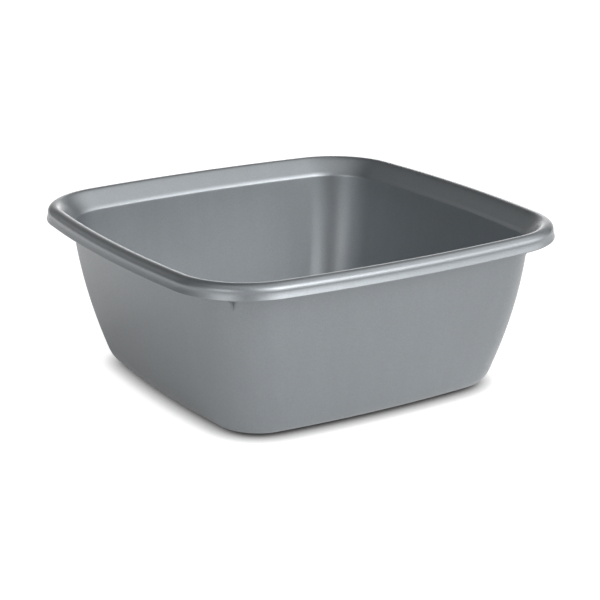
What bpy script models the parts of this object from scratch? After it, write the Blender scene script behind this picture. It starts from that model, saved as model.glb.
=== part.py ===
"""Square washing-up basin, moulded in one piece from silver-grey plastic.

The basin is a shell lofted through rounded squares: foot ring, floor, tapering wall,
collar, broad crest, shoulder and hanging skirt. Four thin gussets brace the
skirt against the wall at the corners. Metres, +Z up, origin at the middle of the base.
"""
import math

import bmesh
import bpy

# Overall size, the outline taken along the crest of the rim
height = 0.1341
crest_half_width = 0.1625
crest_side_radius = 1.0270
crest_corner_radius = 0.0582

# Wall, measured on its outer face
wall_thickness = 0.0020
wall_foot_half_width = 0.1305
wall_foot_side_radius = 0.9000
wall_foot_corner_radius = 0.0434
wall_bow = 0.0030

# Collar, from the crest inwards and down to the wall
collar_inset = 0.0151
collar_depth = 0.0146
collar_crest_run = 0.0034
collar_turn_inset = 0.0066
collar_turn_drop = 0.0042
roll_width = 0.0023
roll_rise = 0.0037
roll_turn_width = 0.0008
roll_turn_rise = 0.0020
collar_under_share = 0.3

# Rim, from the crest outwards and down
rim_thickness = 0.0018
rim_reach = 0.0075
shoulder_width = 0.0064
shoulder_drop = 0.0056
crease_reach = 0.0062
crease_drop = 0.0066
skirt_drop = 0.0116
skirt_edge_radius = 0.0006

# Base
base_fillet_width = 0.0127
base_fillet_height = 0.0157
floor_thickness = 0.0022
foot_height = 0.0029
foot_width = 0.0032
foot_inset = 0.0085
foot_round = 0.0005

# Corner gussets
gusset_thickness = 0.0016
gusset_drop = 0.0164
gusset_root = 0.0008
gusset_start_share = 0.9
gusset_turn_share = 0.27
gusset_turn_reach = 0.0025

# How finely the shell is divided
side_steps = 4
corner_steps = 8
wall_steps = 6
fillet_steps = 5
collar_steps = 8
roll_steps = 3
shoulder_steps = 7
flare_steps = 3
edge_steps = 3
gusset_edge_steps = 4

# The skirt's edge, in degrees from straight outwards towards straight up
edge_start = -90
edge_end = 18

# Derived levels and widths
wall_top_half_width = crest_half_width - collar_inset + wall_thickness
wall_top_side_radius = crest_side_radius - collar_inset + wall_thickness
wall_top_corner_radius = crest_corner_radius - collar_inset + wall_thickness
wall_top_level = height - collar_depth - wall_thickness * collar_under_share
wall_foot_level = foot_height + base_fillet_height
floor_level = foot_height + floor_thickness
roll_start = (roll_width - collar_inset, collar_depth - roll_rise)
roll_turn = (roll_turn_width - collar_inset, collar_depth - roll_turn_rise)
roll_end = (-collar_inset, collar_depth)
base_half_width = wall_foot_half_width - base_fillet_width
base_side_radius = wall_foot_side_radius - base_fillet_width
base_corner_radius = wall_foot_corner_radius - base_fillet_width


def mix(start, end, share):
    return start + (end - start) * share


def mix_all(start, end, share):
    return tuple(mix(a, b, share) for a, b in zip(start, end))


def bend(start, corner, end, steps):
    """Points on a curve that leaves start towards corner and arrives at end from corner."""
    shares = [step / steps for step in range(steps + 1)]
    return [mix_all(mix_all(start, corner, s), mix_all(corner, end, s), s) for s in shares]


def corner_middle(half, side_radius, corner_radius):
    """Where the first corner arc has its centre, the same along X and along Y."""
    side_centre = half - side_radius
    reach = side_radius - corner_radius
    return (side_centre + math.sqrt(2 * reach ** 2 - side_centre ** 2)) / 2


def rounded_square(half, side_radius, corner_radius):
    """A square of four shallow side arcs and four corner arcs, counterclockwise from +X."""
    side_centre = half - side_radius
    corner_centre = corner_middle(half, side_radius, corner_radius)
    meeting = math.atan2(corner_centre, corner_centre - side_centre)
    quarter = []
    for step in range(side_steps):
        angle = mix(-meeting, meeting, step / side_steps)
        quarter.append((side_centre + side_radius * math.cos(angle), side_radius * math.sin(angle)))
    for step in range(corner_steps):
        angle = mix(meeting, math.pi / 2 - meeting, step / corner_steps)
        quarter.append((corner_centre + corner_radius * math.cos(angle),
                        corner_centre + corner_radius * math.sin(angle)))
    points = list(quarter)
    for _ in range(3):
        quarter = [(-y, x) for x, y in quarter]
        points.extend(quarter)
    return points


def diagonal_reach(station):
    """How far the outline of a station lies from the axis, along the diagonal."""
    half, side_radius, corner_radius, _ = station
    return corner_middle(half, side_radius, corner_radius) * math.sqrt(2) + corner_radius


def wall_reach(level, inwards):
    """How far the wall's outer face lies from the axis on the diagonal, moved inwards."""
    share = (wall_top_level - level) / (wall_top_level - wall_foot_level)
    return diagonal_reach(wall_station(share, wall_top_level, inwards))


def arc(centre_out, centre_drop, radius, start, end, steps):
    """Points of an arc in the rim's section, as (outwards, drop) pairs."""
    angles = [math.radians(mix(start, end, step / steps)) for step in range(steps + 1)]
    return [(centre_out + radius * math.cos(a), centre_drop - radius * math.sin(a)) for a in angles]


def rim_station(out, drop):
    """The crest's outline moved outwards and down."""
    return (crest_half_width + out, crest_side_radius + out, crest_corner_radius + out, height - drop)


def wall_station(share, top_level, inwards):
    """The wall's outline from its top (share 0) to its foot (share 1), moved inwards."""
    bow = 4 * wall_bow * share * (1 - share)
    return (mix(wall_top_half_width, wall_foot_half_width, share) + bow - inwards,
            mix(wall_top_side_radius, wall_foot_side_radius, share) - inwards,
            mix(wall_top_corner_radius, wall_foot_corner_radius, share) - inwards,
            mix(top_level, wall_foot_level, share))


def base_station(inwards, level):
    """The outline of the base's flat underside moved inwards."""
    return (base_half_width - inwards, base_side_radius - inwards, base_corner_radius - inwards, level)


def fillet(bottom_level, inwards):
    """Stations from the wall's foot to the base, on a curve that leaves both smoothly."""
    lean = (wall_top_half_width - wall_foot_half_width + 4 * wall_bow) / (wall_top_level - wall_foot_level)
    crossing = lean * (wall_foot_level - bottom_level)
    stations = []
    for step in range(1, fillet_steps + 1):
        share = step / fillet_steps
        offset = mix(mix(0, crossing, share), mix(crossing, base_fillet_width, share), share) + inwards
        stations.append((wall_foot_half_width - offset, wall_foot_side_radius - offset,
                         wall_foot_corner_radius - offset,
                         mix(wall_foot_level, bottom_level, 1 - (1 - share) ** 2)))
    return stations


def collar(depth):
    """The collar from the crest to where it rolls over, moved by a depth into its own plastic."""
    points = []
    for step in range(collar_steps + 1):
        share = step / collar_steps
        first = mix_all((0, 0), (-collar_crest_run, 0), share)
        second = mix_all((-collar_crest_run, 0), (-collar_turn_inset, collar_turn_drop), share)
        third = mix_all((-collar_turn_inset, collar_turn_drop), roll_start, share)
        before, after = mix_all(first, second, share), mix_all(second, third, share)
        out, drop = mix_all(before, after, share)
        length = math.dist(before, after)
        points.append((out + (after[1] - before[1]) / length * depth,
                       drop + (before[0] - after[0]) / length * depth))
    return points


def shoulder(depth):
    """The shoulder from its outermost place up to the crest, moved inwards by a depth."""
    points = []
    for step in range(shoulder_steps + 1):
        angle = math.pi / 2 * step / shoulder_steps
        points.append(((shoulder_width - depth) * math.cos(angle),
                       shoulder_drop - (shoulder_drop - depth) * math.sin(angle)))
    return points


def skirt_inside():
    """The inner side of the flared skirt, from the shoulder down to the skirt's edge."""
    return bend((shoulder_width - rim_thickness, shoulder_drop),
                (crease_reach - rim_thickness, crease_drop),
                (rim_reach - rim_thickness, skirt_drop), flare_steps)


def foot_ring():
    """Stations under the base, from the recessed panel over the foot ring to its outer side."""
    inner = foot_inset + foot_width
    return [base_station(inner, foot_height),
            base_station(inner, foot_round),
            base_station(inner - foot_round, 0),
            base_station(foot_inset + foot_round, 0),
            base_station(foot_inset, foot_round),
            base_station(foot_inset, foot_height)]


def wall_outside():
    shares = [1 - step / wall_steps for step in range(wall_steps)]
    return [wall_station(share, wall_top_level, 0) for share in shares]


def rim_underside():
    """From the wall's top up the back of the collar, and over to the back of the shoulder."""
    points = [(wall_thickness - collar_inset, collar_depth + wall_thickness * collar_under_share)]
    points.extend(reversed(collar(rim_thickness)))
    points.extend(reversed(shoulder(rim_thickness)[:-1]))
    return [rim_station(out, drop) for out, drop in points]


def skirt_stations():
    """Down inside the skirt, round its edge and up its flare to below the shoulder."""
    centre_out, centre_drop = rim_reach - skirt_edge_radius, skirt_drop - skirt_edge_radius
    edge = arc(centre_out, centre_drop, skirt_edge_radius, edge_start, edge_end, edge_steps)
    flare = bend(edge[-1], (crease_reach, crease_drop), (shoulder_width, shoulder_drop), flare_steps)
    return [rim_station(out, drop) for out, drop in skirt_inside()[1:] + edge + flare[1:-1]]


def rim_topside():
    """From the shoulder's outermost place over the crest, down the collar and its roll."""
    points = shoulder(0) + collar(0)[1:] + bend(roll_start, roll_turn, roll_end, roll_steps)[1:-1]
    return [rim_station(out, drop) for out, drop in points]


def wall_inside():
    top_level = height - collar_depth
    stations = [wall_station(step / wall_steps, top_level, wall_thickness)
                for step in range(wall_steps + 1)]
    return stations + fillet(floor_level, wall_thickness)


def shell_stations():
    base_fillet = list(reversed(fillet(foot_height, 0)))
    return (foot_ring() + base_fillet + wall_outside() + rim_underside()
            + skirt_stations() + rim_topside() + wall_inside())


def loft(name, stations):
    """One closed shell through all the stations, with flat faces over its two ends."""
    mesh = bpy.data.meshes.new(name)
    form = bmesh.new()
    loops = []
    for half, side_radius, corner_radius, level in stations:
        outline = rounded_square(half, side_radius, corner_radius)
        loops.append([form.verts.new((x, y, level)) for x, y in outline])
    for lower, upper in zip(loops, loops[1:]):
        for index in range(len(lower)):
            after = (index + 1) % len(lower)
            form.faces.new((lower[index], lower[after], upper[after], upper[index]))
    form.faces.new(list(reversed(loops[0])))
    form.faces.new(loops[-1])
    form.to_mesh(mesh)
    form.free()
    return mesh


def gusset_edge():
    """The gusset's free edge, from inside the skirt in a hollow curve down into the wall."""
    inside = skirt_inside()
    out, drop = mix_all(inside[0], inside[-1], gusset_start_share)
    skirt = rim_station(out + gusset_root, drop)
    start = (diagonal_reach(skirt), skirt[3])
    end_level = height - skirt_drop - gusset_drop
    turn_level = mix(start[1], end_level, gusset_turn_share)
    turn = (wall_reach(turn_level, -gusset_turn_reach), turn_level)
    end = (wall_reach(end_level, gusset_root), end_level)
    return bend(start, turn, end, gusset_edge_steps)


def gusset_outline():
    """The gusset's outline on the diagonal: up the wall, under the rim, down its free edge."""
    roof = [(diagonal_reach(station), station[3]) for station in rim_underside()]
    outline = []
    for index, (reach, level) in enumerate(roof):
        before = roof[max(index - 1, 0)]
        after = roof[min(index + 1, len(roof) - 1)]
        along, rise = after[0] - before[0], after[1] - before[1]
        length = math.hypot(along, rise)
        outline.append((reach - rise / length * gusset_root, level + along / length * gusset_root))
    return outline + gusset_edge()


def make_gusset(quarter):
    """A flat web on one diagonal, rooted in the wall, the collar and the skirt."""
    mesh = bpy.data.meshes.new("gusset_form")
    form = bmesh.new()
    outline = gusset_outline()
    angle = math.pi / 4 + quarter * math.pi / 2
    ahead = (math.cos(angle), math.sin(angle))
    sideways = (-ahead[1], ahead[0])
    sheets = []
    for side in (-gusset_thickness / 2, gusset_thickness / 2):
        sheets.append([form.verts.new((reach * ahead[0] + side * sideways[0],
                                       reach * ahead[1] + side * sideways[1], level))
                       for reach, level in outline])
    form.faces.new(sheets[0])
    form.faces.new(list(reversed(sheets[1])))
    for index in range(len(outline)):
        after = (index + 1) % len(outline)
        form.faces.new((sheets[0][after], sheets[0][index], sheets[1][index], sheets[1][after]))
    bmesh.ops.recalc_face_normals(form, faces=form.faces)
    form.to_mesh(mesh)
    form.free()
    gusset = bpy.data.objects.new(f"gusset_form_{quarter + 1}", mesh)
    bpy.context.collection.objects.link(gusset)
    gusset.hide_render = True
    gusset.display_type = "WIRE"
    return gusset


def silver_plastic():
    """Silver-grey plastic with a fine metallic pigment and a satin gloss."""
    material = bpy.data.materials.new("silver_plastic")
    material.use_nodes = True
    shader = material.node_tree.nodes["Principled BSDF"]
    shader.inputs["Base Color"].default_value = (0.30, 0.32, 0.335, 1.0)
    shader.inputs["Metallic"].default_value = 0.55
    shader.inputs["Roughness"].default_value = 0.42
    return material


def make_basin():
    mesh = loft("basin", shell_stations())
    mesh.materials.append(silver_plastic())
    basin = bpy.data.objects.new("basin", mesh)
    bpy.context.collection.objects.link(basin)
    for quarter in range(4):
        union = basin.modifiers.new(f"gusset_{quarter + 1}", "BOOLEAN")
        union.operation = "UNION"
        union.solver = "EXACT"
        union.object = make_gusset(quarter)
    mesh.shade_smooth()
    mesh.set_sharp_from_angle(angle=math.radians(40))
    return basin


for old in list(bpy.data.objects):
    bpy.data.objects.remove(old)
make_basin()
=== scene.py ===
"""Looks of the square washing-up basin: the smooth moulding, its silver plastic and the studio.

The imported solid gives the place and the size. The moulding shown here is lofted through the
same outlines, with many more of them, and its rim and foot have their small radii.
Metres, +Z up, origin at the middle of the base.
"""
import math

import bmesh
import bpy
from mathutils import Matrix, Vector


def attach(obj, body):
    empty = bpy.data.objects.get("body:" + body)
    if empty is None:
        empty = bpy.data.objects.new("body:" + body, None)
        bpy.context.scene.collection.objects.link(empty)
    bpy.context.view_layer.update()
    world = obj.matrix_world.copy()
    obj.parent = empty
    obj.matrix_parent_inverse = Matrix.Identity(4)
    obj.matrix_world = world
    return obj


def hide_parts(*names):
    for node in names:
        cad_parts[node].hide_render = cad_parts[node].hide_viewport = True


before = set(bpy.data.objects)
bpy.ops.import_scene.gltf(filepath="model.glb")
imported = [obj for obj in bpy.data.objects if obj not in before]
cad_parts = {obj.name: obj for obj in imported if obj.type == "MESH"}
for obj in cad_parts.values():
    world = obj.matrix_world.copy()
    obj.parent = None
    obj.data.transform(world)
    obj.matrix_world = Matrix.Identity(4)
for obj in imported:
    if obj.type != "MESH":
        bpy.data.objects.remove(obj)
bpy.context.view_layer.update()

# Overall size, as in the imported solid, the outline taken along the crest of the rim
height = 0.1341
crest_half_width = 0.1625
crest_side_radius = 1.0270
crest_corner_radius = 0.0582

# Wall, measured on its outer face
wall_thickness = 0.0020
wall_foot_half_width = 0.1305
wall_foot_side_radius = 0.9000
wall_foot_corner_radius = 0.0434
wall_bow = 0.0030

# Collar, from the crest inwards and down to the wall
collar_inset = 0.0151
collar_depth = 0.0146
collar_crest_run = 0.0034
collar_turn_inset = 0.0066
collar_turn_drop = 0.0042
roll_width = 0.0023
roll_rise = 0.0037
roll_turn_width = 0.0008
roll_turn_rise = 0.0020
collar_under_share = 0.3
wall_top_softness = 0.0016

# Rim, from the crest outwards and down
rim_thickness = 0.0018
rim_reach = 0.0075
shoulder_width = 0.0064
shoulder_drop = 0.0056
crease_reach = 0.0062
crease_drop = 0.0066
skirt_drop = 0.0116
skirt_edge_radius = 0.0006
skirt_softness = 0.0004

# Base
base_fillet_width = 0.0127
base_fillet_height = 0.0157
floor_thickness = 0.0022
foot_height = 0.0029
foot_width = 0.0032
foot_inset = 0.0085
foot_softness = 0.0007

# Gate mark under the base: its dimple, and the nub in it as shares of the radius with their rises
gate_radius = 0.0060
gate_depth = 0.0004
gate_lip_width = gate_depth / 3
gate_lip_drop = gate_depth / 4
gate_nub_radius = 0.0012
gate_nub_steps = ((0.7, gate_depth / 4), (0.9, gate_depth / 3), (1.0, gate_depth))
gate_squareness = 0.05

# Outlines that divide the two flat faces, inside the foot ring and on the floor of the bowl
panel_margin = 3 * foot_softness
panel_middle_share = 0.5
panel_corner_share = 0.25
floor_ring_insets = (0.002, 0.012, 0.060)
floor_ring_least_corner = 0.012

# Corner gussets
gusset_thickness = 0.0016
gusset_drop = 0.0164
gusset_root = 0.0008
gusset_start_share = 0.9
gusset_turn_share = 0.27
gusset_turn_reach = 0.0025
gusset_softness = 0.0003

# How finely the moulding is divided
side_steps = 12
corner_steps = 24
wall_steps = 22
fillet_steps = 14
collar_steps = 28
roll_steps = 9
shoulder_steps = 24
flare_steps = 12
edge_steps = 8
bend_steps = 5
gusset_edge_steps = 14
gusset_soft_steps = 2
sharp_angle = 38

# The skirt's edge, in degrees from straight outwards towards straight up
edge_start = -90
edge_end = 18

# The plastic: polypropylene filled with aluminium flake, satin from the mould
plastic_colour = (0.288, 0.311, 0.329)
plastic_metallic = 0.80
plastic_roughness = 0.42
plastic_ior = 1.49
plastic_coat = 1.0
plastic_coat_roughness = 0.26

# Grains of the surface, each as the scale, detail and roughness of a noise
streak_grain = (21, 4.0, 0.62)
cloud_grain = (16, 3.0, 0.5)
rub_grain = (210, 4.0, 0.65)
haze_grain = (420, 2.0, 0.5)
satin_grain = (2600, 2.0, 0.5)
peel_grain = (95, 1.0, 0.5)
break_grain = (34, 1.0, 0.5)
grain_spread = (0.3, 0.7)
flake_scale = 1700

# The melt's streaks: how fast they change round the axis and up the wall
streak_round = 0.62
streak_rise = 0.9
axis_guard = 0.0001

# Hairline scratches: two sets of turn and density, their width and gaps, and their share on the skirt
hairline_sets = (((0.3, 0.2, 0.5), 11), ((1.1, 0.5, 1.9), 9))
hairline_stretch = (1, 14, 14)
hairline_width = 0.022
hairline_gaps = (0.56, 0.66)
hairline_skirt_share = 0.25

# Where the rubbed grain counts as wear, and how far below the crest it reaches
wear_spread = (0.5, 0.72)
wear_drop = shoulder_drop / 4

# How far each lightens or darkens the colour, as a share of it
streak_tone = 0.022
cloud_tone = 0.010
flake_tone = 0.05
scratch_tone = 0.05
wear_tone = 0.05

# How far each changes the roughness
cloud_gloss = 0.02
haze_gloss = 0.03
streak_gloss = 0.015
scratch_gloss = 0.10
wear_gloss = 0.08

# How deep the satin, the orange peel and the scratches go
satin_depth = 0.000006
peel_depth = 0.00006
groove_depth = 0.00001

# Studio floor: a pale card that throws light up, and that the eye sees as white, with a painted shade
# round the foot
floor_half_width = 8
floor_roughness = 0.9
floor_colour = (0.82, 0.82, 0.82)
floor_glow = 0.95
floor_mirrored_glow = 0.10
floor_seen_share = 0.3
floor_shade_reach = 0.02
floor_shade_range = (0.04, 0.70)

# Soft lights: azimuth from straight ahead (-Y) towards +X, elevation, narrowness, strength
studio_lights = (
    (13.3, 27.4, 18.17, 7.050),
    (-61.0, 15.0, 30.0, 3.100),
    (60.7, 15.9, 18.17, 2.850),
    (145.1, 2.4, 18.17, 2.150),
    (85.0, 54.5, 18.17, 1.750),
    (-158.0, 19.0, 18.17, 0.500),
    (-20.0, 71.0, 18.17, 0.650),
    (-80.0, 64.0, 18.17, 0.600),
    (-92.0, 8.0, 18.17, 0.450),
)

# Camera, as the photograph was taken
camera_azimuth = -31.2688
camera_elevation = 17.7267
camera_distance = 1.3864
camera_target_level = 0.0572
camera_lens = 102.695
camera_sensor = 36
camera_clip = (0.05, 50)
camera_roll = -0.4886
camera_shift = (0.00754, 0.00462)

# Derived levels and widths
wall_top_half_width = crest_half_width - collar_inset + wall_thickness
wall_top_side_radius = crest_side_radius - collar_inset + wall_thickness
wall_top_corner_radius = crest_corner_radius - collar_inset + wall_thickness
wall_top_level = height - collar_depth - wall_thickness * collar_under_share
wall_foot_level = foot_height + base_fillet_height
floor_level = foot_height + floor_thickness
roll_start = (roll_width - collar_inset, collar_depth - roll_rise)
roll_turn = (roll_turn_width - collar_inset, collar_depth - roll_turn_rise)
roll_end = (-collar_inset, collar_depth)
base_half_width = wall_foot_half_width - base_fillet_width
base_side_radius = wall_foot_side_radius - base_fillet_width
base_corner_radius = wall_foot_corner_radius - base_fillet_width


def mix(start, end, share):
    return start + (end - start) * share


def mix_all(start, end, share):
    return tuple(mix(a, b, share) for a, b in zip(start, end))


def bend(start, corner, end, steps=bend_steps):
    """Points on a curve that leaves start towards corner and arrives at end from corner."""
    shares = [step / steps for step in range(steps + 1)]
    return [mix_all(mix_all(start, corner, s), mix_all(corner, end, s), s) for s in shares]


def towards(start, end, distance):
    """The point a distance from start on the way to end."""
    return mix_all(start, end, distance / math.dist(start, end))


def corner_middle(half, side_radius, corner_radius):
    """Where the first corner arc has its centre, the same along X and along Y."""
    side_centre = half - side_radius
    reach = side_radius - corner_radius
    return (side_centre + math.sqrt(2 * reach ** 2 - side_centre ** 2)) / 2


def rounded_square(half, side_radius, corner_radius):
    """A square of four shallow side arcs and four corner arcs, counterclockwise from +X."""
    side_centre = half - side_radius
    corner_centre = corner_middle(half, side_radius, corner_radius)
    meeting = math.atan2(corner_centre, corner_centre - side_centre)
    quarter = []
    for step in range(side_steps):
        angle = mix(-meeting, meeting, step / side_steps)
        quarter.append((side_centre + side_radius * math.cos(angle), side_radius * math.sin(angle)))
    for step in range(corner_steps):
        angle = mix(meeting, math.pi / 2 - meeting, step / corner_steps)
        quarter.append((corner_centre + corner_radius * math.cos(angle),
                        corner_centre + corner_radius * math.sin(angle)))
    points = list(quarter)
    for _ in range(3):
        quarter = [(-y, x) for x, y in quarter]
        points.extend(quarter)
    return points


def diagonal_reach(station):
    """How far the outline of a station lies from the axis, along the diagonal."""
    half, side_radius, corner_radius, _ = station
    return corner_middle(half, side_radius, corner_radius) * math.sqrt(2) + corner_radius


def arc(centre_out, centre_drop, radius, start, end, steps):
    """Points of an arc in the rim's section, as (outwards, drop) pairs."""
    angles = [math.radians(mix(start, end, step / steps)) for step in range(steps + 1)]
    return [(centre_out + radius * math.cos(a), centre_drop - radius * math.sin(a)) for a in angles]


def rim_station(out, drop):
    """The crest's outline moved outwards and down."""
    return (crest_half_width + out, crest_side_radius + out, crest_corner_radius + out, height - drop)


def wall_station(share, top_level, inwards):
    """The wall's outline from its top (share 0) to its foot (share 1), moved inwards."""
    bow = 4 * wall_bow * share * (1 - share)
    return (mix(wall_top_half_width, wall_foot_half_width, share) + bow - inwards,
            mix(wall_top_side_radius, wall_foot_side_radius, share) - inwards,
            mix(wall_top_corner_radius, wall_foot_corner_radius, share) - inwards,
            mix(top_level, wall_foot_level, share))


def wall_reach(level, inwards):
    """How far the wall's outer face lies from the axis on the diagonal, moved inwards."""
    share = (wall_top_level - level) / (wall_top_level - wall_foot_level)
    return diagonal_reach(wall_station(share, wall_top_level, inwards))


def base_station(inwards, level):
    """The outline of the base's flat underside moved inwards."""
    return (base_half_width - inwards, base_side_radius - inwards, base_corner_radius - inwards, level)


def round_station(radius, level):
    """A ring that is a circle to the eye."""
    return (radius, radius * (1 + gate_squareness), radius * (1 - gate_squareness), level)


def fillet(bottom_level, inwards):
    """Stations from the wall's foot to the base, on a curve that leaves both smoothly."""
    lean = (wall_top_half_width - wall_foot_half_width + 4 * wall_bow) / (wall_top_level - wall_foot_level)
    crossing = lean * (wall_foot_level - bottom_level)
    stations = []
    for step in range(1, fillet_steps + 1):
        share = step / fillet_steps
        offset = mix(mix(0, crossing, share), mix(crossing, base_fillet_width, share), share) + inwards
        stations.append((wall_foot_half_width - offset, wall_foot_side_radius - offset,
                         wall_foot_corner_radius - offset,
                         mix(wall_foot_level, bottom_level, 1 - (1 - share) ** 2)))
    return stations


def collar(depth):
    """The collar from the crest to where it rolls over, moved by a depth into its own plastic."""
    points = []
    for step in range(collar_steps + 1):
        share = step / collar_steps
        first = mix_all((0, 0), (-collar_crest_run, 0), share)
        second = mix_all((-collar_crest_run, 0), (-collar_turn_inset, collar_turn_drop), share)
        third = mix_all((-collar_turn_inset, collar_turn_drop), roll_start, share)
        before, after = mix_all(first, second, share), mix_all(second, third, share)
        out, drop = mix_all(before, after, share)
        length = math.dist(before, after)
        points.append((out + (after[1] - before[1]) / length * depth,
                       drop + (before[0] - after[0]) / length * depth))
    return points


def shoulder(depth):
    """The shoulder from its outermost place up to the crest, moved inwards by a depth."""
    points = []
    for step in range(shoulder_steps + 1):
        angle = math.pi / 2 * step / shoulder_steps
        points.append(((shoulder_width - depth) * math.cos(angle),
                       shoulder_drop - (shoulder_drop - depth) * math.sin(angle)))
    return points


def skirt_inside():
    """The inner side of the flared skirt, from the shoulder down to its softened edge."""
    flare = bend((shoulder_width - rim_thickness, shoulder_drop),
                 (crease_reach - rim_thickness, crease_drop),
                 (rim_reach - rim_thickness, skirt_drop), flare_steps)
    lip = flare[-1]
    return flare[:-1] + bend(towards(lip, flare[-2], skirt_softness), lip,
                             (lip[0] + skirt_softness, lip[1]))


def gate_mark():
    """The moulding gate in the middle of the underside: a shallow dimple with a cut-off nub."""
    top = foot_height + gate_depth
    nub = [round_station(gate_nub_radius * share, foot_height + rise) for share, rise in gate_nub_steps]
    return nub + [round_station(gate_radius - gate_depth, top),
                  round_station(gate_radius - gate_lip_width, top - gate_lip_drop),
                  round_station(gate_radius, foot_height)]


def foot_ring():
    """Stations under the base, from the recessed panel over the foot ring to its outer side."""
    inner = foot_inset + foot_width
    soft = foot_softness
    middle = base_half_width * panel_middle_share
    stations = [(middle, base_side_radius - middle, middle * panel_corner_share, foot_height),
                base_station(inner + panel_margin, foot_height)]
    stations += bend(base_station(inner + soft, foot_height), base_station(inner, foot_height),
                     base_station(inner, foot_height - soft))
    stations += bend(base_station(inner, soft), base_station(inner, 0), base_station(inner - soft, 0))
    stations += bend(base_station(foot_inset + soft, 0), base_station(foot_inset, 0),
                     base_station(foot_inset, soft))
    stations += bend(base_station(foot_inset, foot_height - soft), base_station(foot_inset, foot_height),
                     base_station(foot_inset - soft, foot_height))
    return stations


def wall_outside():
    shares = [1 - step / wall_steps for step in range(wall_steps)]
    return [wall_station(share, wall_top_level, 0) for share in shares]


def rim_underside():
    """From the wall's top up the back of the collar, and over to the back of the shoulder."""
    points = [(wall_thickness - collar_inset, collar_depth + wall_thickness * collar_under_share)]
    points.extend(reversed(collar(rim_thickness)))
    points.extend(reversed(shoulder(rim_thickness)[:-1]))
    return [rim_station(out, drop) for out, drop in points]


def skirt_stations():
    """Down inside the skirt, round its edge and up its flare to below the shoulder."""
    centre_out, centre_drop = rim_reach - skirt_edge_radius, skirt_drop - skirt_edge_radius
    edge = arc(centre_out, centre_drop, skirt_edge_radius, edge_start, edge_end, edge_steps)
    flare = bend(edge[-1], (crease_reach, crease_drop), (shoulder_width, shoulder_drop), flare_steps)
    return [rim_station(out, drop) for out, drop in skirt_inside()[1:] + edge + flare[1:-1]]


def rim_topside():
    """From the shoulder's outermost place over the crest, down the collar and its roll."""
    points = shoulder(0) + collar(0)[1:] + bend(roll_start, roll_turn, roll_end, roll_steps)[1:-1]
    return [rim_station(out, drop) for out, drop in points]


def wall_inside():
    """From the end of the roll down the wall to the floor."""
    top_level = height - collar_depth
    wall = [wall_station(step / wall_steps, top_level, wall_thickness) for step in range(wall_steps + 1)]
    nose_start = towards(wall[0], rim_topside()[-1], wall_top_softness / 4)
    stations = bend(nose_start, wall[0], towards(wall[0], wall[1], wall_top_softness)) + wall[1:]
    stations += fillet(floor_level, wall_thickness)
    for inwards in floor_ring_insets:
        offset = wall_thickness + base_fillet_width + inwards
        stations.append((wall_foot_half_width - offset, wall_foot_side_radius - offset,
                         max(wall_foot_corner_radius - offset, floor_ring_least_corner), floor_level))
    return stations


def shell_stations():
    base_fillet = list(reversed(fillet(foot_height, 0)))
    return (gate_mark() + foot_ring() + base_fillet + wall_outside() + rim_underside()
            + skirt_stations() + rim_topside() + wall_inside())


def add_shell(form, stations):
    """One closed shell through all the stations, with flat faces over its two ends."""
    loops = []
    for half, side_radius, corner_radius, level in stations:
        outline = rounded_square(half, side_radius, corner_radius)
        loops.append([form.verts.new((x, y, level)) for x, y in outline])
    for lower, upper in zip(loops, loops[1:]):
        for index in range(len(lower)):
            after = (index + 1) % len(lower)
            form.faces.new((lower[index], lower[after], upper[after], upper[index]))
    form.faces.new(list(reversed(loops[0])))
    form.faces.new(loops[-1])


def gusset_edge():
    """The gusset's free edge, from inside the skirt in a hollow curve down into the wall."""
    inside = skirt_inside()
    out, drop = mix_all(inside[0], inside[-1], gusset_start_share)
    skirt = rim_station(out + gusset_root, drop)
    start = (diagonal_reach(skirt), skirt[3])
    end_level = height - skirt_drop - gusset_drop
    turn_level = mix(start[1], end_level, gusset_turn_share)
    turn = (wall_reach(turn_level, -gusset_turn_reach), turn_level)
    end = (wall_reach(end_level, gusset_root), end_level)
    return bend(start, turn, end, gusset_edge_steps)


def gusset_outline():
    """The gusset's outline on the diagonal: up the wall, under the rim, down its free edge."""
    roof = [(diagonal_reach(station), station[3]) for station in rim_underside()]
    outline = []
    for index, (reach, level) in enumerate(roof):
        before = roof[max(index - 1, 0)]
        after = roof[min(index + 1, len(roof) - 1)]
        along, rise = after[0] - before[0], after[1] - before[1]
        length = math.hypot(along, rise)
        outline.append((reach - rise / length * gusset_root, level + along / length * gusset_root))
    return outline + gusset_edge()


def add_gusset(form, quarter):
    """A flat web on one diagonal, with softened edges, rooted in the wall, collar and skirt."""
    outline = gusset_outline()
    angle = math.pi / 4 + quarter * math.pi / 2
    ahead = Vector((math.cos(angle), math.sin(angle), 0))
    sideways = Vector((-ahead.y, ahead.x, 0))
    sheets = []
    for side in (-gusset_thickness / 2, gusset_thickness / 2):
        sheets.append([form.verts.new(ahead * reach + sideways * side + Vector((0, 0, level)))
                       for reach, level in outline])
    faces = [form.faces.new(sheets[0]), form.faces.new(list(reversed(sheets[1])))]
    for index in range(len(outline)):
        after = (index + 1) % len(outline)
        faces.append(form.faces.new((sheets[0][after], sheets[0][index],
                                     sheets[1][index], sheets[1][after])))
    bmesh.ops.recalc_face_normals(form, faces=faces)
    rims = [edge for face in faces[:2] for edge in face.edges]
    bmesh.ops.bevel(form, geom=rims, offset=gusset_softness, segments=gusset_soft_steps,
                    profile=0.5, affect="EDGES")


def add_node(tree, kind, **inputs):
    """A node of one kind, with values or links put on its named inputs."""
    node = tree.nodes.new(kind)
    for name, value in inputs.items():
        put(tree, node.inputs[name], value)
    return node


def put(tree, socket, value):
    if isinstance(value, bpy.types.NodeSocket):
        tree.links.new(value, socket)
    else:
        socket.default_value = value


def math_node(tree, operation, *values):
    node = tree.nodes.new("ShaderNodeMath")
    node.operation = operation
    for socket, value in zip(node.inputs, values):
        put(tree, socket, value)
    return node.outputs[0]


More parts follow.
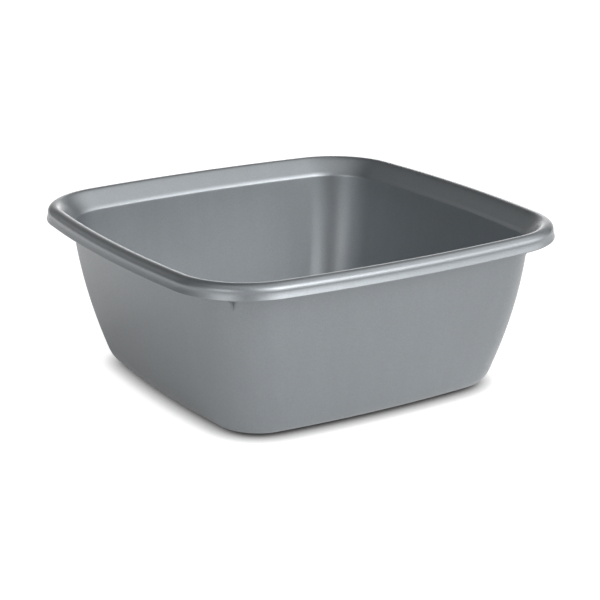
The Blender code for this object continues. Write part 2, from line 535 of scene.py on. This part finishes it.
def vector_node(tree, operation, *values):
    node = tree.nodes.new("ShaderNodeVectorMath")
    node.operation = operation
    for socket, value in zip(node.inputs, values):
        put(tree, socket, value)
    return node.outputs[0]


def scaled(tree, vector, factor):
    node = tree.nodes.new("ShaderNodeVectorMath")
    node.operation = "SCALE"
    put(tree, node.inputs[0], vector)
    put(tree, node.inputs["Scale"], factor)
    return node.outputs[0]


def add_up(tree, first, *others):
    for other in others:
        first = math_node(tree, "ADD", first, other)
    return first


def remap(tree, value, low, high, to_low, to_high):
    """The value's stretch from low to high, carried to another stretch and held to its ends."""
    node = tree.nodes.new("ShaderNodeMapRange")
    for socket, number in zip(node.inputs, (value, low, high, to_low, to_high)):
        put(tree, socket, number)
    return node.outputs[0]


def swing(tree, grain, reach):
    """A noise carried to a stretch that runs from minus to plus its reach."""
    return remap(tree, grain, *grain_spread, -reach, reach)


def noise(tree, place, grain):
    scale, detail, roughness = grain
    node = add_node(tree, "ShaderNodeTexNoise", Vector=place, Scale=scale, Detail=detail,
                    Roughness=roughness)
    return node.outputs["Fac"]


def hairlines(tree, place, turn, density):
    """Fine straight scratches, nearly along one direction: 1 on a line and 0 beside it."""
    mapping = add_node(tree, "ShaderNodeMapping", Vector=place, Rotation=turn, Scale=hairline_stretch)
    cells = add_node(tree, "ShaderNodeTexVoronoi", Vector=mapping.outputs[0], Scale=density)
    cells.feature = "DISTANCE_TO_EDGE"
    line = remap(tree, cells.outputs["Distance"], 0.0, hairline_width, 1.0, 0.0)
    whole = remap(tree, noise(tree, place, break_grain), *hairline_gaps, 0.0, 1.0)
    return math_node(tree, "MULTIPLY", line, whole)


def bump(tree, depth, level, **under):
    """A relief of one depth, over the relief that is given as its Normal."""
    return add_node(tree, "ShaderNodeBump", Strength=1.0, Distance=depth, Height=level, **under).outputs[0]


def silver_plastic():
    """Satin polypropylene with a fine aluminium pigment, as it leaves the mould and a little used."""
    material = bpy.data.materials.new("silver_plastic_look")
    material.use_nodes = True
    tree = material.node_tree
    shader = tree.nodes["Principled BSDF"]
    place = add_node(tree, "ShaderNodeTexCoord").outputs["Object"]
    across, along, level = add_node(tree, "ShaderNodeSeparateXYZ", Vector=place).outputs

    # The melt runs out from the gate in the floor and up the walls, and leaves long faint streaks
    flat = add_node(tree, "ShaderNodeCombineXYZ", X=across, Y=along, Z=axis_guard).outputs[0]
    heading = scaled(tree, vector_node(tree, "NORMALIZE", flat), streak_round)
    rise = add_node(tree, "ShaderNodeCombineXYZ", Z=math_node(tree, "MULTIPLY", level, streak_rise))
    run = vector_node(tree, "ADD", heading, rise.outputs[0])
    streaks = noise(tree, run, streak_grain)
    clouds = noise(tree, place, cloud_grain)

    # Aluminium flakes: each lies at its own slant and so is a little lighter or darker
    flakes = add_node(tree, "ShaderNodeTexVoronoi", Vector=place, Scale=flake_scale).outputs["Color"]
    flake = add_node(tree, "ShaderNodeSeparateColor", Color=flakes).outputs[0]

    # Fine hairline scratches of handling, most of them on the rim and on the floor of the bowl
    lines = math_node(tree, "MAXIMUM", *(hairlines(tree, place, *each) for each in hairline_sets))
    on_rim = remap(tree, level, height - skirt_drop, height, hairline_skirt_share, 1.0)
    on_floor = remap(tree, level, wall_foot_level, floor_level, 0.0, 1.0)
    scratched = math_node(tree, "MULTIPLY", lines, math_node(tree, "MAXIMUM", on_rim, on_floor))

    # Rubbed places: the crest of the rim and the foot that slides on a worktop
    rubbed = remap(tree, noise(tree, place, rub_grain), *wear_spread, 0.0, 1.0)
    crest = remap(tree, level, height - wear_drop, height, 0.0, 1.0)
    foot = remap(tree, level, 0.0, foot_height, 1.0, 0.0)
    worn = math_node(tree, "MULTIPLY", rubbed, math_node(tree, "MAXIMUM", crest, foot))

    tone = add_up(tree, swing(tree, streaks, streak_tone), swing(tree, clouds, cloud_tone),
                  remap(tree, flake, 0.0, 1.0, -flake_tone, flake_tone),
                  math_node(tree, "MULTIPLY", scratched, scratch_tone),
                  math_node(tree, "MULTIPLY", worn, wear_tone), 1.0)
    put(tree, shader.inputs["Base Color"], scaled(tree, plastic_colour, tone))

    gloss = add_up(tree, swing(tree, clouds, cloud_gloss),
                   swing(tree, noise(tree, place, haze_grain), haze_gloss),
                   swing(tree, streaks, streak_gloss),
                   math_node(tree, "MULTIPLY", scratched, scratch_gloss),
                   math_node(tree, "MULTIPLY", worn, wear_gloss), plastic_roughness)
    put(tree, shader.inputs["Roughness"], gloss)

    # Satin tool finish, a slight orange peel, and the scratches' own grooves
    satin = bump(tree, satin_depth, noise(tree, place, satin_grain))
    peel = bump(tree, peel_depth, noise(tree, place, peel_grain), Normal=satin)
    groove = bump(tree, groove_depth, math_node(tree, "SUBTRACT", 1.0, scratched), Normal=peel)
    put(tree, shader.inputs["Normal"], groove)

    shader.inputs["Metallic"].default_value = plastic_metallic
    shader.inputs["IOR"].default_value = plastic_ior
    shader.inputs["Coat Weight"].default_value = plastic_coat
    shader.inputs["Coat Roughness"].default_value = plastic_coat_roughness
    shader.inputs["Coat IOR"].default_value = plastic_ior
    return material


def make_basin():
    mesh = bpy.data.meshes.new("basin_moulding")
    form = bmesh.new()
    add_shell(form, shell_stations())
    for quarter in range(4):
        add_gusset(form, quarter)
    form.to_mesh(mesh)
    form.free()
    mesh.materials.append(silver_plastic())
    mesh.shade_smooth()
    mesh.set_sharp_from_angle(angle=math.radians(sharp_angle))
    basin = bpy.data.objects.new("basin_moulding", mesh)
    bpy.context.scene.collection.objects.link(basin)
    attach(basin, "root")
    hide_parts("basin")
    return basin


def make_floor():
    """A plain white floor that keeps part of the basin's real soft shadow, deepened by a painted shade
    round the foot.
    """
    mesh = bpy.data.meshes.new("studio_floor")
    form = bmesh.new()
    bmesh.ops.create_grid(form, x_segments=1, y_segments=1, size=floor_half_width)
    form.to_mesh(mesh)
    form.free()
    material = bpy.data.materials.new("studio_floor")
    material.use_nodes = True
    tree = material.node_tree
    shader = tree.nodes["Principled BSDF"]
    shader.inputs["Roughness"].default_value = floor_roughness
    path = add_node(tree, "ShaderNodeLightPath").outputs
    # Painted shade: the ambient occlusion dims the floor's glow, and its colour as the eye sees it, round
    # the foot
    openness = add_node(tree, "ShaderNodeAmbientOcclusion", Distance=floor_shade_reach).outputs["AO"]
    painted_shade_factor = remap(tree, openness, *floor_shade_range, 0.0, 1.0)

    # The eye sees a white card with a painted soft dark shade, drawn from the ambient occlusion, that
    # gathers round the foot
    seen = math_node(tree, "MULTIPLY", path["Is Camera Ray"], painted_shade_factor)
    mirrored = math_node(tree, "MAXIMUM", path["Is Glossy Ray"], path["Is Transmission Ray"])
    put(tree, shader.inputs["Emission Color"], (1, 1, 1, 1))
    mirrored_glow = math_node(tree, "MULTIPLY", mirrored, floor_mirrored_glow)
    put(tree, shader.inputs["Emission Strength"],
        math_node(tree, "MULTIPLY_ADD", seen, floor_glow, mirrored_glow))
    unseen = math_node(tree, "SUBTRACT", 1.0, path["Is Camera Ray"])
    tone = math_node(tree, "MULTIPLY_ADD", seen, floor_seen_share, unseen)
    put(tree, shader.inputs["Base Color"], scaled(tree, floor_colour, tone))
    mesh.materials.append(material)
    floor = bpy.data.objects.new("studio_floor", mesh)
    bpy.context.scene.collection.objects.link(floor)


def make_world():
    """Soft light from a few large round diffusers around the basin, each fading out at its edge."""
    world = bpy.data.worlds.new("studio")
    world.use_nodes = True
    tree = world.node_tree
    looking = add_node(tree, "ShaderNodeTexCoord").outputs["Generated"]
    total = 0.0
    for azimuth, elevation, narrowness, strength in studio_lights:
        turn, lift = math.radians(azimuth), math.radians(elevation)
        middle = (math.sin(turn) * math.cos(lift), -math.cos(turn) * math.cos(lift), math.sin(lift))
        aside = vector_node(tree, "DOT_PRODUCT", looking, middle).node.outputs["Value"]
        fade = math_node(tree, "MULTIPLY_ADD", aside, narrowness, -narrowness)
        total = math_node(tree, "MULTIPLY_ADD", math_node(tree, "EXPONENT", fade), strength, total)
    background = tree.nodes["Background"]
    put(tree, background.inputs["Color"], (1, 1, 1, 1))
    put(tree, background.inputs["Strength"], total)
    bpy.context.scene.world = world


def make_camera():
    azimuth, elevation = math.radians(camera_azimuth), math.radians(camera_elevation)
    back = Vector((math.sin(azimuth) * math.cos(elevation), -math.cos(azimuth) * math.cos(elevation),
                   math.sin(elevation)))
    data = bpy.data.cameras.new("camera")
    data.lens = camera_lens
    data.sensor_width = camera_sensor
    data.shift_x, data.shift_y = camera_shift
    data.clip_start, data.clip_end = camera_clip
    camera = bpy.data.objects.new("camera", data)
    bpy.context.scene.collection.objects.link(camera)
    turn = (-back).to_track_quat("-Z", "Y").to_matrix().to_4x4()
    roll = Matrix.Rotation(math.radians(camera_roll), 4, "Z")
    target = Vector((0, 0, camera_target_level))
    camera.matrix_world = Matrix.Translation(target + back * camera_distance) @ turn @ roll
    bpy.context.scene.camera = camera


make_basin()
make_floor()
make_world()
make_camera()
bpy.context.scene.view_settings.view_transform = "Standard"

bpy.context.view_layer.update()
